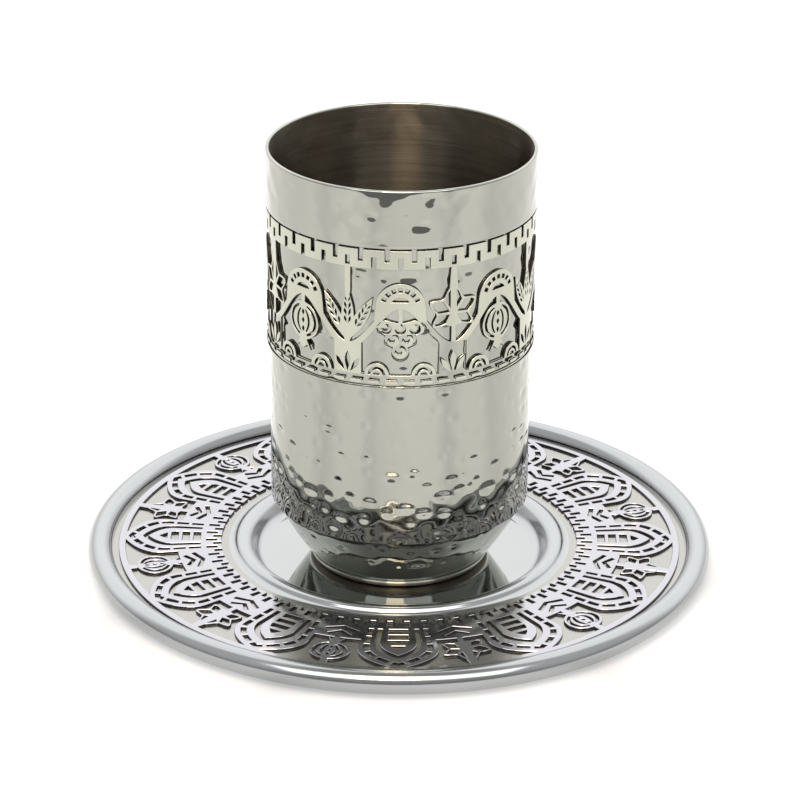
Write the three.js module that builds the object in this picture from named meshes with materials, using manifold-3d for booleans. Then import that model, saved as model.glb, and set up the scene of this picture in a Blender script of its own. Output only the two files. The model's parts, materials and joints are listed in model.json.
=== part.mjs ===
// A kiddush cup on its saucer: a spun steel cup with a straight wall and a tapered foot, a pierced
// frieze sleeve round the upper wall, a spun saucer with a rolled rim and a raised bead round its
// well, and a pierced ring lying on the saucer's brim. Millimetres, +Z up, the origin at the middle
// of the saucer's underside.
import * as THREE from 'three';
import { mergeVertices } from 'three/addons/utils/BufferGeometryUtils.js';
import Module from 'manifold-3d';

const wasm = await Module();
wasm.setup();

// ---- Driving dimensions ------------------------------------------------------------------------
const CUP_FACETS = 32; // flats round the cup and its sleeve, one to each notch
const SAUCER_FACETS = 40; // flats round the saucer and its ring

const SAUCER_RADIUS = 65.0;
const SAUCER_SHEET = 1.0; // thickness of the spun sheet
const BRIM_TOP = 3.3; // height of the flat brim
const RIM_TUBE = 2.5; // radius of the rolled rim's section
const RIM_CENTRE_Z = 3.35; // height of the rolled rim's centre
const WELL_RADIUS = 28.2; // flat floor that the cup stands on
const BEAD_CREST = 32.9; // radius of the bead's highest line
const BEAD_OUTER = 35.9;
const BEAD_TOP = 4.5;

const RING_INNER = 37.3;
const RING_OUTER = 58.7;
const RING_SHEET = 0.5;

const RIM_HEIGHT = 90.8; // the cup's lip above the table
const CUP_WALL = 0.8;
const COLLAR_RADIUS = 27.25; // outside, above the sleeve
const BODY_RADIUS = 26.65; // outside, behind and below the sleeve
const STEP_Z = 15.0; // sharp lower edge of the straight wall
const STEP_INSET = 1.0;
const FOOT_RADIUS = 18.6;
const FOOT_ROUND = 1.6; // radius of the rounded edge that the foot stands in

const BAND_BOTTOM = 49.6;
const BAND_TOP = 78.5;
const BAND_SHEET = 0.5;
const FIT_GAP = 0.1; // between the sleeve and the wall that it is slipped over

// ---- Frieze --------------------------------------------------------------------------------------
const WAVES = 8; // turns of the vine round the sleeve
const NOTCHES_A_WAVE = 4; // notches in the top edge over each turn
const NOTCH_WIDTH = 1.0;
const NOTCH_DEPTH = 2.4;
const BORDER = 1.5; // sheet left whole under the notches
const VINE_HEIGHT = 13.0; // middle of the vine above the sleeve's lower edge
const VINE_SWING = 4.4; // how far it rises and falls
const STEM_WIDTH = 1.3;
const SUN_RADIUS = 5.0; // of the sun that rises behind each crest of the vine
const SUN_DISC = 2.1; // of the opening in its middle
const STALK = 1.1; // width of the bars that hold fruit and leaves
const GRAPE_PITCH = 2.6;
const GRAPE_ROWS = [3, 2, 1];
const POMEGRANATE_RADIUS = 4.0;
const FRUIT_DROP = 1.5; // length of a fruit's stalk
const LEAF_SIZE = 5.0; // from the middle of a leaf to its tip
const LEAF_HEIGHT = 16.0; // middle of a leaf above the sleeve's lower edge
const LOBE_ANGLE = 62; // degrees between a leaf's lobes
const EAR_LENGTH = 11.0; // of a head of wheat
const EAR_WIDTH = 2.6;
const EAR_TILT = 28; // degrees between neighbouring heads
const GROUND = 2.7; // strip of sheet under the hills
const HILL_RADIUS = 2.5;
const HILL_AT = 4.7; // middle of a hill from the middle of its turn
const POST = 5.8; // sheet left whole between neighbouring turns, under the vine

const RING_PARTS = 12; // parts of the border design round the saucer
const RING_STROKE = 1.1;
const RING_BORDER = 1.4;
const ARCH_WIDTHS = [12.4, 8.3]; // nested pointed arches, their feet towards the well
const ARCH_HEIGHTS = [14.6, 11.6];
const ARCH_FOOT = 4.4; // of an arch above the ring's inner edge
const ARCH_SPRING = 0.55; // share of its height at which an arch begins to lean in
const ARCH_FRAME = 1.45; // sheet left whole outside an arch
const DOOR_WIDTH = 4.3;
const DOOR_HEIGHT = 8.6;
const RING_LEAF = 5.0;
const RING_FRUIT = 3.7;
const PLANT_FOOT = 9.3; // of a leaf or fruit above the ring's inner edge

// ---- Small helpers -------------------------------------------------------------------------------
const WELD = 1e-4;
const CUT_REACH = 1.5; // how far a cutter runs past the sheet on each side
const point = (x, y) => new THREE.Vector2(x, y);
const radians = THREE.MathUtils.degToRad;
const range = (count) => Array.from({ length: count }, (_, i) => i);

/** An arc of points about (cx, cy), from one angle to another in degrees. */
function arc(cx, cy, radius, from, to, steps) {
  return range(steps + 1).map((i) => {
    const angle = radians(from + ((to - from) * i) / steps);
    return point(cx + radius * Math.cos(angle), cy + radius * Math.sin(angle));
  });
}

/** Closes a geometry: shared vertices become one, and faces without width go. */
function weld(geometry) {
  const bare = geometry.clone();
  bare.deleteAttribute('normal');
  bare.deleteAttribute('uv');
  const merged = mergeVertices(bare, WELD);
  const corners = Array.from(merged.index.array);
  const kept = [];
  for (let i = 0; i < corners.length; i += 3) {
    const [a, b, c] = corners.slice(i, i + 3);
    if (a !== b && b !== c && c !== a) kept.push(a, b, c);
  }
  merged.setIndex(kept);
  return merged;
}

/** A profile of (radius, height) points turned about the Z axis. */
function turned(profile, facets) {
  const lathe = new THREE.LatheGeometry(profile, facets);
  lathe.rotateX(Math.PI / 2);
  return weld(lathe);
}

function toSolid(geometry) {
  const closed = weld(geometry);
  const vertProperties = Float32Array.from(closed.attributes.position.array);
  const triVerts = Uint32Array.from(closed.index.array);
  return new wasm.Manifold(new wasm.Mesh({ numProp: 3, vertProperties, triVerts }));
}

function toGeometry(solid) {
  const mesh = solid.getMesh();
  const geometry = new THREE.BufferGeometry();
  geometry.setAttribute('position', new THREE.BufferAttribute(mesh.vertProperties, 3));
  geometry.setIndex(new THREE.BufferAttribute(mesh.triVerts, 1));
  return geometry;
}

/** The outline of a line of even width drawn along a path. */
function stroke(path, width) {
  const sides = path.map((here, i) => {
    const back = path[Math.max(i - 1, 0)];
    const ahead = path[Math.min(i + 1, path.length - 1)];
    const along = ahead.clone().sub(back).normalize();
    const across = point(-along.y, along.x).multiplyScalar(width / 2);
    return [here.clone().add(across), here.clone().sub(across)];
  });
  return [...sides.map(([left]) => left), ...sides.map(([, right]) => right).reverse()];
}

const moved = (outline, dx, dy) => outline.map((p) => point(p.x + dx, p.y + dy));
const mirrored = (outline) => outline.map((p) => point(-p.x, p.y)).reverse();

// ---- Right-hand sides of the motifs, from the top down, round each motif's own middle line -------
/** A bunch of grapes that hangs from (0, 0). */
function grapeSide() {
  const reach = GRAPE_PITCH * 0.6;
  const last = GRAPE_ROWS.length - 1;
  const rows = GRAPE_ROWS.flatMap((count, row) => {
    const x = ((count - 1) / 2) * GRAPE_PITCH;
    const y = -2 * FRUIT_DROP - (row + 0.5) * GRAPE_PITCH * Math.sin(radians(60));
    return arc(x, y, reach, row === 0 ? 100 : 32, row === last ? -80 : -26, row === 0 ? 2 : 1);
  });
  return [point(STALK / 2, 0), ...rows];
}

/** A pomegranate that hangs from a height, with its crown down. */
function pomegranateSide(radius, top) {
  const middle = top - FRUIT_DROP - radius;
  return [
    point(STALK / 2, top),
    ...arc(0, middle, radius, 80, -72, 4),
    point(radius * 0.5, middle - radius * 1.45),
  ];
}

/** A five-lobed leaf between a bar up to the top and a stalk down to the foot. */
function leafSide(size, middle, top, foot) {
  const edge = [0, 0.5, 1, 1.5, 2].map((step) => {
    const reach = size * (1 - 0.36 * Math.abs(Math.sin(Math.PI * step)) - 0.08 * step);
    const angle = radians(step * LOBE_ANGLE);
    return point(STALK / 2 + reach * Math.sin(angle), middle + reach * Math.cos(angle));
  });
  return [point(STALK / 2, top), ...edge, point(STALK / 2, foot)];
}

/** Three heads of wheat that fan out upwards from a foot, the middle one held by a bar. */
function wheatSide(top, foot) {
  const turned = (x, y, tilt) => {
    const p = point(x, y).rotateAround(point(0, 0), radians(-tilt));
    return point(p.x, p.y + foot);
  };
  return [
    point(STALK / 2, top),
    turned(STALK / 2, EAR_LENGTH, 0),
    turned(EAR_WIDTH / 2, EAR_LENGTH * 0.66, 0),
    turned(0, EAR_LENGTH * 0.5, EAR_TILT / 2),
    turned(-EAR_WIDTH / 2, EAR_LENGTH * 0.68, EAR_TILT),
    turned(0, EAR_LENGTH, EAR_TILT),
    turned(EAR_WIDTH / 2, EAR_LENGTH * 0.5, EAR_TILT),
    point(STALK / 2, foot + STALK / 2),
  ];
}

// ---- The sleeve ----------------------------------------------------------------------------------
const bandOuter = BODY_RADIUS + FIT_GAP + BAND_SHEET;
const bandHeight = BAND_TOP - BAND_BOTTOM;
const wavePitch = (2 * Math.PI * bandOuter) / WAVES;
const crest = VINE_HEIGHT + VINE_SWING;
const trough = VINE_HEIGHT - VINE_SWING;

/** The vine's upper (1) or lower (-1) edge at a distance from the middle of a turn. */
function vineEdge(along, side) {
  const middle = VINE_HEIGHT + VINE_SWING * Math.cos((2 * Math.PI * along) / wavePitch);
  return point(along, middle + side * STEM_WIDTH * 0.75);
}

/** The opening over a crest of the vine, between two plants and round the rising sun. */
function skyWindow(leftPlant, rightPlant) {
  const half = wavePitch / 2;
  const stem = [0.72, 0.5].map((share) => vineEdge(-half * share, 1));
  const rise = [...stem, ...arc(0, crest - 0.3, SUN_RADIUS, 180, 90, 2)];
  return [
    ...moved(leftPlant, -half, 0),
    ...rise,
    ...mirrored(rise).slice(1),
    ...moved(mirrored(rightPlant), half, 0),
  ];
}

/** The opening under a crest of the vine, round a hanging fruit and over two hills. */
function gardenWindow(fruit) {
  const edge = (wavePitch - POST) / 2;
  const right = [
    ...moved(fruit, 0, crest - STEM_WIDTH / 2),
    point(0, crest - STEM_WIDTH / 2 + fruit.at(-1).y),
  ];
  const land = [point(edge, GROUND), ...arc(HILL_AT, GROUND, HILL_RADIUS, 0, 180, 3)];
  const rim = [right[0], vineEdge(edge * 0.5, -1), vineEdge(edge, -1), ...land];
  const left = mirrored(rim).reverse().slice(1);
  return [...right, ...mirrored(right).slice(1), ...left, ...rim.reverse().slice(0, -1)];
}

/** Everything pierced over one turn of the vine; odd and even turns carry different plants. */
function bandTurn(turn) {
  const odd = turn % 2 === 1;
  const notchPitch = wavePitch / NOTCHES_A_WAVE;
  const notches = range(NOTCHES_A_WAVE).map((i) => {
    const x = (i - (NOTCHES_A_WAVE - 1) / 2) * notchPitch;
    return stroke([point(x, bandHeight - NOTCH_DEPTH), point(x, bandHeight + 1)], NOTCH_WIDTH);
  });
  const roof = bandHeight - NOTCH_DEPTH - BORDER;
  const stand = trough + STEM_WIDTH / 2;
  const leaf = leafSide(LEAF_SIZE, LEAF_HEIGHT, roof, stand);
  const wheat = wheatSide(roof, stand);
  const disc = arc(0, crest - 0.3, SUN_DISC, 150, 30, 3);
  const fruit = odd ? pomegranateSide(POMEGRANATE_RADIUS, 0) : grapeSide();
  return [...notches, odd ? skyWindow(leaf, wheat) : skyWindow(wheat, leaf), disc, gardenWindow(fruit)];
}

/** A cutter through the sleeve for an outline drawn on its outside, unrolled. */
function sleeveCutter(outline, turn) {
  const xs = outline.map((p) => p.x);
  const middle = (Math.min(...xs) + Math.max(...xs)) / 2;
  const depth = BAND_SHEET + 2 * CUT_REACH;
  const cutter = new THREE.ExtrudeGeometry(new THREE.Shape(moved(outline, -middle, 0)), {
    depth,
    bevelEnabled: false,
  });
  cutter.translate(0, BAND_BOTTOM, bandOuter + CUT_REACH - depth);
  cutter.rotateX(Math.PI / 2);
  cutter.rotateZ((turn * wavePitch + middle) / bandOuter);
  return toSolid(cutter);
}

function piercedSleeve() {
  const inner = bandOuter - BAND_SHEET;
  const section = [
    point(inner, BAND_BOTTOM),
    point(bandOuter, BAND_BOTTOM),
    point(bandOuter, BAND_TOP),
    point(inner, BAND_TOP),
    point(inner, BAND_BOTTOM),
  ];
  let sleeve = toSolid(turned(section, CUP_FACETS));
  for (const turn of range(WAVES)) {
    for (const outline of bandTurn(turn)) sleeve = sleeve.subtract(sleeveCutter(outline, turn));
  }
  return toGeometry(sleeve);
}

// ---- The ring on the brim ----------------------------------------------------------------------
const ringWidth = RING_OUTER - RING_INNER;
const ringMiddle = (RING_OUTER + RING_INNER) / 2;
const ringPitch = (2 * Math.PI * ringMiddle) / RING_PARTS;

/** The right side of a pointed arch or door, from its tip down to its foot. */
function archSide(width, height) {
  const spring = ARCH_FOOT + height * ARCH_SPRING;
  const tip = ARCH_FOOT + height;
  return [
    point(0, tip),
    point(width * 0.32, spring + (tip - spring) * 0.55),
    point(width / 2, spring),
    point(width / 2, ARCH_FOOT),
  ];
}

/** The opening between a plant and the arch on its right, round the plant's middle line. */
function spandrel(plant) {
  const width = ARCH_WIDTHS[0] + 2 * ARCH_FRAME;
  const top = ringWidth - RING_BORDER;
  const side = archSide(width, ARCH_HEIGHTS[0] + 2 * ARCH_FRAME).slice(1, 3);
  return [
    ...plant,
    point((ringPitch - width) / 2, PLANT_FOOT),
    ...side.reverse().map((p) => point(ringPitch / 2 - p.x, p.y)),
    point(ringPitch / 2 - width * 0.17, top),
  ];
}

/** Everything pierced over one part of the ring, with y from its inner edge outwards. */
function ringPart(turn) {
  const arches = ARCH_WIDTHS.map((width, i) => {
    const side = archSide(width, ARCH_HEIGHTS[i]);
    return stroke([...mirrored(side), ...side.slice(1)], RING_STROKE);
  });
  const [doorTip, , ...doorSide] = archSide(DOOR_WIDTH, DOOR_HEIGHT);
  const door = [...mirrored(doorSide), doorTip, ...doorSide];
  const top = ringWidth - RING_BORDER;
  const fruit = [...pomegranateSide(RING_FRUIT, top).slice(0, -1), point(STALK / 2, PLANT_FOOT)];
  const plant = turn % 2 === 1 ? fruit : leafSide(RING_LEAF, top - 6.6, top, PLANT_FOOT);
  const opening = spandrel(plant);
  const both = [opening, mirrored(opening)].map((outline) => moved(outline, ringPitch / 2, 0));
  return [...arches, door, ...both];
}

/** A cutter through the ring, its outline bent round the saucer's axis. */
function ringCutter(outline, turn) {
  const bent = outline.map((p) => {
    const angle = (turn * ringPitch + p.x) / ringMiddle;
    const radius = RING_INNER + p.y;
    return point(radius * Math.sin(angle), -radius * Math.cos(angle));
  });
  const cutter = new THREE.ExtrudeGeometry(new THREE.Shape(bent), {
    depth: RING_SHEET + 2 * CUT_REACH,
    bevelEnabled: false,
  });
  cutter.translate(0, 0, BRIM_TOP - CUT_REACH);
  return toSolid(cutter);
}

function piercedRing() {
  const section = [
    point(RING_INNER, BRIM_TOP),
    point(RING_OUTER, BRIM_TOP),
    point(RING_OUTER, BRIM_TOP + RING_SHEET),
    point(RING_INNER, BRIM_TOP + RING_SHEET),
    point(RING_INNER, BRIM_TOP),
  ];
  let ring = toSolid(turned(section, SAUCER_FACETS));
  for (const turn of range(RING_PARTS)) {
    for (const outline of ringPart(turn)) ring = ring.subtract(ringCutter(outline, turn));
  }
  return toGeometry(ring);
}

// ---- The cup -------------------------------------------------------------------------------------
/** The hollow cup: foot, tapered bowl, undercut step, straight wall, collar, lip and inside. */
function cupBody() {
  const foot = SAUCER_SHEET;
  const bowlTop = BODY_RADIUS - STEP_INSET;
  const lip = CUP_WALL / 2;
  const inner = BODY_RADIUS - CUP_WALL;
  const floor = foot + SAUCER_SHEET;
  const bowl = new THREE.QuadraticBezierCurve(
    point(FOOT_RADIUS, foot + FOOT_ROUND),
    point(bowlTop - 2.0, foot + 8.6),
    point(bowlTop, STEP_Z - 0.5),
  ).getPoints(4);
  const inside = new THREE.QuadraticBezierCurve(
    point(inner, STEP_Z + 2.0),
    point(inner - 1.6, foot + 9.0),
    point(FOOT_RADIUS - 1.4, floor),
  ).getPoints(4);
  const profile = [
    point(0, foot),
    ...arc(FOOT_RADIUS - FOOT_ROUND, foot + FOOT_ROUND, FOOT_ROUND, -90, -30, 2),
    ...bowl,
    point(BODY_RADIUS, STEP_Z),
    point(BODY_RADIUS, BAND_TOP + 0.3),
    point(COLLAR_RADIUS, BAND_TOP + 0.7),
    ...arc(COLLAR_RADIUS - lip, RIM_HEIGHT - lip, lip, 0, 180, 2),
    point(inner, BAND_TOP - 1.0),
    ...inside,
    point(0, floor),
  ];
  return turned(profile, CUP_FACETS);
}

/** The saucer: well, bead, brim and rolled rim, one sheet of even thickness. */
function saucer() {
  const sheet = SAUCER_SHEET;
  const tubeRadius = SAUCER_RADIUS - RIM_TUBE;
  const crease = tubeRadius - RIM_TUBE;
  const brimUnder = BRIM_TOP - sheet;
  const profile = [
    point(0, 0),
    point(WELL_RADIUS + 0.9, 0),
    point(BEAD_CREST - 1.6, brimUnder),
    point(BEAD_CREST, BEAD_TOP - sheet),
    point(BEAD_OUTER - 0.6, brimUnder),
    point(crease, brimUnder),
    ...arc(tubeRadius, RIM_CENTRE_Z, RIM_TUBE - sheet, 150, -90, 3),
    ...arc(tubeRadius, RIM_CENTRE_Z, RIM_TUBE, -96, 144, 5),
    point(crease, BRIM_TOP),
    point(BEAD_OUTER, BRIM_TOP),
    point(BEAD_CREST + 1.0, BEAD_TOP - 0.4),
    point(BEAD_CREST, BEAD_TOP),
    point(BEAD_CREST - 1.2, BEAD_TOP - 0.25),
    point(BEAD_CREST - 2.1, BRIM_TOP),
    point(WELL_RADIUS + 1.6, sheet + 0.7),
    point(WELL_RADIUS, sheet),
    point(0, sheet),
  ];
  return turned(profile, SAUCER_FACETS);
}

// ---- The object ----------------------------------------------------------------------------------
function piece(name, geometry, colour, roughness) {
  geometry.computeVertexNormals();
  const material = new THREE.MeshStandardMaterial({ color: colour, roughness, metalness: 1 });
  const mesh = new THREE.Mesh(geometry, material);
  mesh.name = name;
  return mesh;
}

const cupOnSaucer = new THREE.Group();
cupOnSaucer.add(piece('saucer', saucer(), 0xc9cbcf, 0.16));
cupOnSaucer.add(piece('saucer_ring', piercedRing(), 0xd3d2d6, 0.32));
cupOnSaucer.add(piece('cup_body', cupBody(), 0xb4b6ac, 0.2));
cupOnSaucer.add(piece('cup_band', piercedSleeve(), 0xc4c1af, 0.34));

export default cupOnSaucer;
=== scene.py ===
"""A kiddush cup on its saucer, in hammered and pierced steel.

The cup is spun steel with a straight hammered wall, a tapered foot and a plain lip. A thin sleeve,
pierced with vines, grapes, pomegranates and wheat, is slipped round its upper wall. It stands in the
well of a spun saucer with a raised bead and a rolled rim, and a pierced ring lies on the saucer's brim.
"""
import json
import logging
import math
from dataclasses import dataclass, field
from enum import Enum

import bpy
import numpy as np
from mathutils import Matrix, Vector

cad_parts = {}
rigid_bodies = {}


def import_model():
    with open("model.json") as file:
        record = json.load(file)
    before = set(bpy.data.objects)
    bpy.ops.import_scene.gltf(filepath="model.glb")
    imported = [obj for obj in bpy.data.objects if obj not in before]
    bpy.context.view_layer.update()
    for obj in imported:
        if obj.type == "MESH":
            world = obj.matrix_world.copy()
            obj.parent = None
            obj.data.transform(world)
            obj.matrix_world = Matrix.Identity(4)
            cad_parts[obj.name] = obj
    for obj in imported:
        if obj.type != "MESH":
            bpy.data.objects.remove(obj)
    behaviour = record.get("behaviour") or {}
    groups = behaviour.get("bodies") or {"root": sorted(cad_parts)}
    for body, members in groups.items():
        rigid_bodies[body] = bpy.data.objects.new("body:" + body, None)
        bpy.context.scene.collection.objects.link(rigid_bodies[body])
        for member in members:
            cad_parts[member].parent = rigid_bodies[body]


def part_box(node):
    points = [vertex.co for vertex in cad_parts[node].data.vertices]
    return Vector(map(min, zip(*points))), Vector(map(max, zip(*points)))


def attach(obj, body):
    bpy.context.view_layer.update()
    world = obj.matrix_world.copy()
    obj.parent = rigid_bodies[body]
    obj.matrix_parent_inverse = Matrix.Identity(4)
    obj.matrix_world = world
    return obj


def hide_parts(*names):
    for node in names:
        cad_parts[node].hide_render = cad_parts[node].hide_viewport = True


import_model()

LOG = logging.getLogger("kiddush_cup")
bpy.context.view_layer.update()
MM = 0.001
# Vertices closer than this are one.
MERGE = 0.002 * MM
# Half the width of a plant's stalk, as a share of the bar over the plant.
STALK_SHARE = 0.4

Point = tuple[float, float]
Outline = list[Point]


# ---- Outlines, in millimetres --------------------------------------------------------------------
def arc(centre: Point, radius: float, start: float, end: float, steps: int) -> Outline:
    """Points on a circle.

    Args:
        centre: The circle's middle.
        radius: Its radius.
        start: First angle in degrees.
        end: Last angle in degrees.
        steps: Number of equal steps between them.

    Returns:
        The points, both ends among them.
    """
    turns = [math.radians(start + (end - start) * i / steps) for i in range(steps + 1)]
    return [(centre[0] + radius * math.cos(a), centre[1] + radius * math.sin(a)) for a in turns]


def bezier(start: Point, control: Point, end: Point, steps: int) -> Outline:
    """Points on a curve that leaves its start towards a control point and comes into its end from it.

    Args:
        start: The first point.
        control: The point that pulls the curve.
        end: The last point.
        steps: Number of steps between them.

    Returns:
        The points, both ends among them.
    """
    curve = []
    for i in range(steps + 1):
        t = i / steps
        weights = ((1 - t) ** 2, 2 * t * (1 - t), t * t)
        pairs = zip(weights, (start, control, end))
        xs, ys = zip(*((w * p[0], w * p[1]) for w, p in pairs))
        curve.append((sum(xs), sum(ys)))
    return curve


def rows(start: Point, end: Point, spacing: float) -> Outline:
    """Even points along a straight line.

    Args:
        start: The first point.
        end: The last point.
        spacing: The furthest that two neighbours may be apart.

    Returns:
        The points, both ends among them.
    """
    count = max(1, math.ceil(math.dist(start, end) / spacing))
    return [
        (start[0] + (end[0] - start[0]) * i / count, start[1] + (end[1] - start[1]) * i / count)
        for i in range(count + 1)
    ]


def stroke(path: Outline, width: float, taper: float = 1.0) -> Outline:
    """The outline of a line drawn along a path.

    Args:
        path: The line's middle.
        width: Its width in the middle of its length.
        taper: Width at its ends, as a share of the full width.

    Returns:
        The closed outline, without its first point repeated.
    """
    left, right = [], []
    for i, here in enumerate(path):
        back, ahead = path[max(i - 1, 0)], path[min(i + 1, len(path) - 1)]
        along = math.dist(back, ahead)
        across = (-(ahead[1] - back[1]) / along, (ahead[0] - back[0]) / along)
        share = taper + (1 - taper) * math.sin(math.pi * i / (len(path) - 1))
        reach = share * width / 2
        left.append((here[0] + across[0] * reach, here[1] + across[1] * reach))
        right.append((here[0] - across[0] * reach, here[1] - across[1] * reach))
    return left + right[::-1]


def moved(outline: Outline, dx: float, dy: float, turn: float = 0.0) -> Outline:
    """An outline turned by some degrees about (0, 0) and then moved."""
    c, s = math.cos(math.radians(turn)), math.sin(math.radians(turn))
    return [(x * c - y * s + dx, x * s + y * c + dy) for x, y in outline]


def mirrored(outline: Outline, about: float = 0.0) -> Outline:
    """An outline flipped left to right about an upright line, its points in the opposite order."""
    return [(2 * about - x, y) for x, y in outline[::-1]]


def petal(length: float, width: float, steps: int = 6, skew: float = 1.25) -> Outline:
    """A pointed petal that stands on (0, 0).

    Args:
        length: Its height.
        width: Its greatest width.
        steps: Number of steps up each side.
        skew: How high its widest part is: 1 is half-way, and more is higher.

    Returns:
        The closed outline, without its first point repeated.
    """
    side = []
    for i in range(1, steps):
        t = i / steps
        side.append((width / 2 * math.sin(math.pi * t**skew), length * t))
    return [(0.0, 0.0), *side, (0.0, length), *[(-x, y) for x, y in side[::-1]]]


# ---- Motifs of the pierced work, each round its own middle ---------------------------------------
@dataclass(frozen=True)
class Grapes:
    """A bunch of grapes that hangs from (0, 0), each grape drawn by a crescent-shaped cut.

    Angles are in degrees, anticlockwise from the right.
    """

    pitch: float = 2.9
    grape: float = 1.12
    light: float = 0.66
    bunch: tuple[int, ...] = (3, 2, 1)
    drop: float = 2.9
    stalk: float = 0.9
    margin: float = 0.38
    # Where the outline comes onto the top row, and how much of a row's last grape it follows.
    shoulder: float = 120.0
    shown: Point = (32.0, -26.0)
    # A cut's two tips, and how far the uncut light spot sits from the grape's middle.
    crescent: Point = (-170.0, 80.0)
    shine: Point = (-0.2, 0.22)

    def middle(self, row: int, place: int) -> Point:
        """The middle of one grape, counted from the left of its row."""
        y = -self.drop - (row + 0.5) * self.pitch * math.sin(math.radians(60))
        return ((place - (self.bunch[row] - 1) / 2) * self.pitch, y)

    def contour(self) -> Outline:
        """The bunch's right side.

        Returns:
            The points from its stalk down to the lowest grape.
        """
        side = [(self.stalk / 2, 0.0), (self.stalk / 2, -self.drop)]
        last = len(self.bunch) - 1
        for row, count in enumerate(self.bunch):
            start = self.shoulder if row == 0 else self.shown[0]
            end = -90 if row == last else self.shown[1]
            side += arc(self.middle(row, count - 1), self.pitch / 2 + self.margin, start, end, 9)
        return side

    def cuts(self) -> list[Outline]:
        """The cuts in the bunch.

        Returns:
            One crescent for each grape.
        """
        holes = []
        start, end = self.crescent
        for row, count in enumerate(self.bunch):
            for place in range(count):
                x, y = self.middle(row, place)
                lit = (x + self.shine[0], y + self.shine[1])
                holes.append(arc((x, y), self.grape, start, end, 14) + arc(lit, self.light, end, start, 9))
        return holes


@dataclass(frozen=True)
class VineLeaf:
    """A five-lobed vine leaf: its blade is cut away between its midrib, veins and rim."""

    size: float = 5.2
    rib: float = 0.34
    vein: float = 0.5
    margin: float = 0.5
    lobe_angle: float = 62.0
    # How deep and how round the notches between lobes are, and how much shorter each lobe is.
    notch_depth: float = 0.36
    notch_round: float = 1.4
    fall: float = 0.08
    bar: float = 1.2
    heel: float = 0.3
    inset: float = 0.1
    # The cells of one half, each as the angles of the veins beside it.
    cells: tuple[Point, ...] = ((4, 28), (37, 88), (98, 146))

    def reach(self, angle: float) -> float:
        """How far the blade's edge is from the middle.

        Args:
            angle: Angle from the tip in degrees.

        Returns:
            The distance: longest at each lobe, and less from lobe to lobe.
        """
        step = angle / self.lobe_angle
        notch = abs(math.sin(math.pi * step)) ** self.notch_round
        return self.size * (1 - self.notch_depth * notch - self.fall * step)

    def point(self, angle: float, grow: float) -> Point:
        """A point of the right half's edge, moved outwards by some millimetres."""
        turn, reach = math.radians(angle), self.reach(angle) + grow
        return (self.rib + reach * math.sin(turn), reach * math.cos(turn))

    def contour(self, top: float, foot: float) -> Outline:
        """The leaf's right side, with a bar over it and a stalk under it.

        Args:
            top: Height of the bar's top.
            foot: Height of the stalk's foot.

        Returns:
            The points from the top down.
        """
        edge = [self.point(angle, self.margin) for angle in range(6, 157, 6)]
        stalk = self.bar * STALK_SHARE
        return [(self.bar / 2, top), *edge, (stalk, edge[-1][1] - self.heel), (stalk, foot)]

    def cell(self, start: float, end: float) -> Outline:
        """One cell between two veins on the right half.

        Args:
            start: Angle of its first vein from the tip, in degrees.
            end: Angle of its other vein.

        Returns:
            The cell, with its foot near the leaf's middle.
        """
        lean = math.radians((start + end) / 2)
        away = self.vein / 2 / math.sin(math.radians(end - start) / 2)
        steps = max(4, round((end - start) / 5))
        edge = [self.point(start + (end - start) * i / steps, -self.inset) for i in range(steps + 1)]
        return [(self.rib + away * math.sin(lean), away * math.cos(lean)), *edge]

    def cuts(self) -> list[Outline]:
        """Three cells on each half: the tip's, the side lobe's and the lowest lobe's."""
        right = [self.cell(start, end) for start, end in self.cells]
        return right + [mirrored(outline) for outline in right]


@dataclass(frozen=True)
class Pomegranate:
    """A pomegranate that hangs from (0, 0) with its crown down, split open to show its seeds."""

    radius: float = 3.5
    line: float = 0.6
    margin: float = 0.5
    drop: float = 1.5
    stalk: float = 1.0
    # The crown as shares of the radius: where its neck is, how long it is and its half widths.
    neck: float = 0.93
    crown: float = 0.56
    crown_widths: tuple[float, float, float] = (0.26, 0.6, 0.3)
    crown_rises: Point = (0.25, 0.9)
    # The skin's line reaches this far up and down, in degrees.
    skin_inset: float = 0.3
    split: float = 72.0
    # A rib's arc: how far back its middle is and its radius, as shares, and its half angle.
    rib: tuple[float, float, float] = (0.62, 1.06, 40.0)
    # A seed's length and width, and where the seeds stand, as shares of the radius.
    seed: Point = (0.34, 0.2)
    seeds: tuple[float, ...] = (-0.5, 0.0, 0.5)

    @property
    def middle(self) -> float:
        """Height of the fruit's middle."""
        return -self.drop - self.radius - self.margin

    def contour(self, foot: float | None = None) -> Outline:
        """The fruit's right side.

        Args:
            foot: Height that a stalk under it reaches down to. None ends it at its crown.

        Returns:
            The points from the upper stalk down.
        """
        r = self.radius + self.margin
        neck, flare = self.middle - r * self.neck, self.middle - r - self.radius * self.crown
        low, high = self.crown_rises
        heights = (neck - low, flare, flare + high)
        crown = [(self.radius * share, y) for share, y in zip(self.crown_widths, heights)]
        end = (0.0, flare) if foot is None else (self.stalk * 0.5, foot)
        stalk = [(self.stalk / 2, 0.0), (self.stalk / 2, -self.drop * 0.9)]
        return [*stalk, *arc((0, self.middle), r, 82, -70, 20), *crown, end]

    def cuts(self) -> list[Outline]:
        """The cuts in the fruit.

        Returns:
            The skin's line in two halves, two ribs and a row of seeds.
        """
        r, y = self.radius, self.middle
        skin = stroke(arc((0, y), r - self.skin_inset, -self.split, self.split, 18), self.line, 0.7)
        back, bow, half = self.rib
        rib = stroke(arc((-r * back, y), r * bow, -half, half, 10), self.line * 0.85, 0.5)
        seed = petal(r * self.seed[0], r * self.seed[1])
        seeds = [moved(seed, 0, y + r * (share - self.seed[0] / 2)) for share in self.seeds]
        return [skin, mirrored(skin), rib, mirrored(rib), *seeds]


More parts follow.
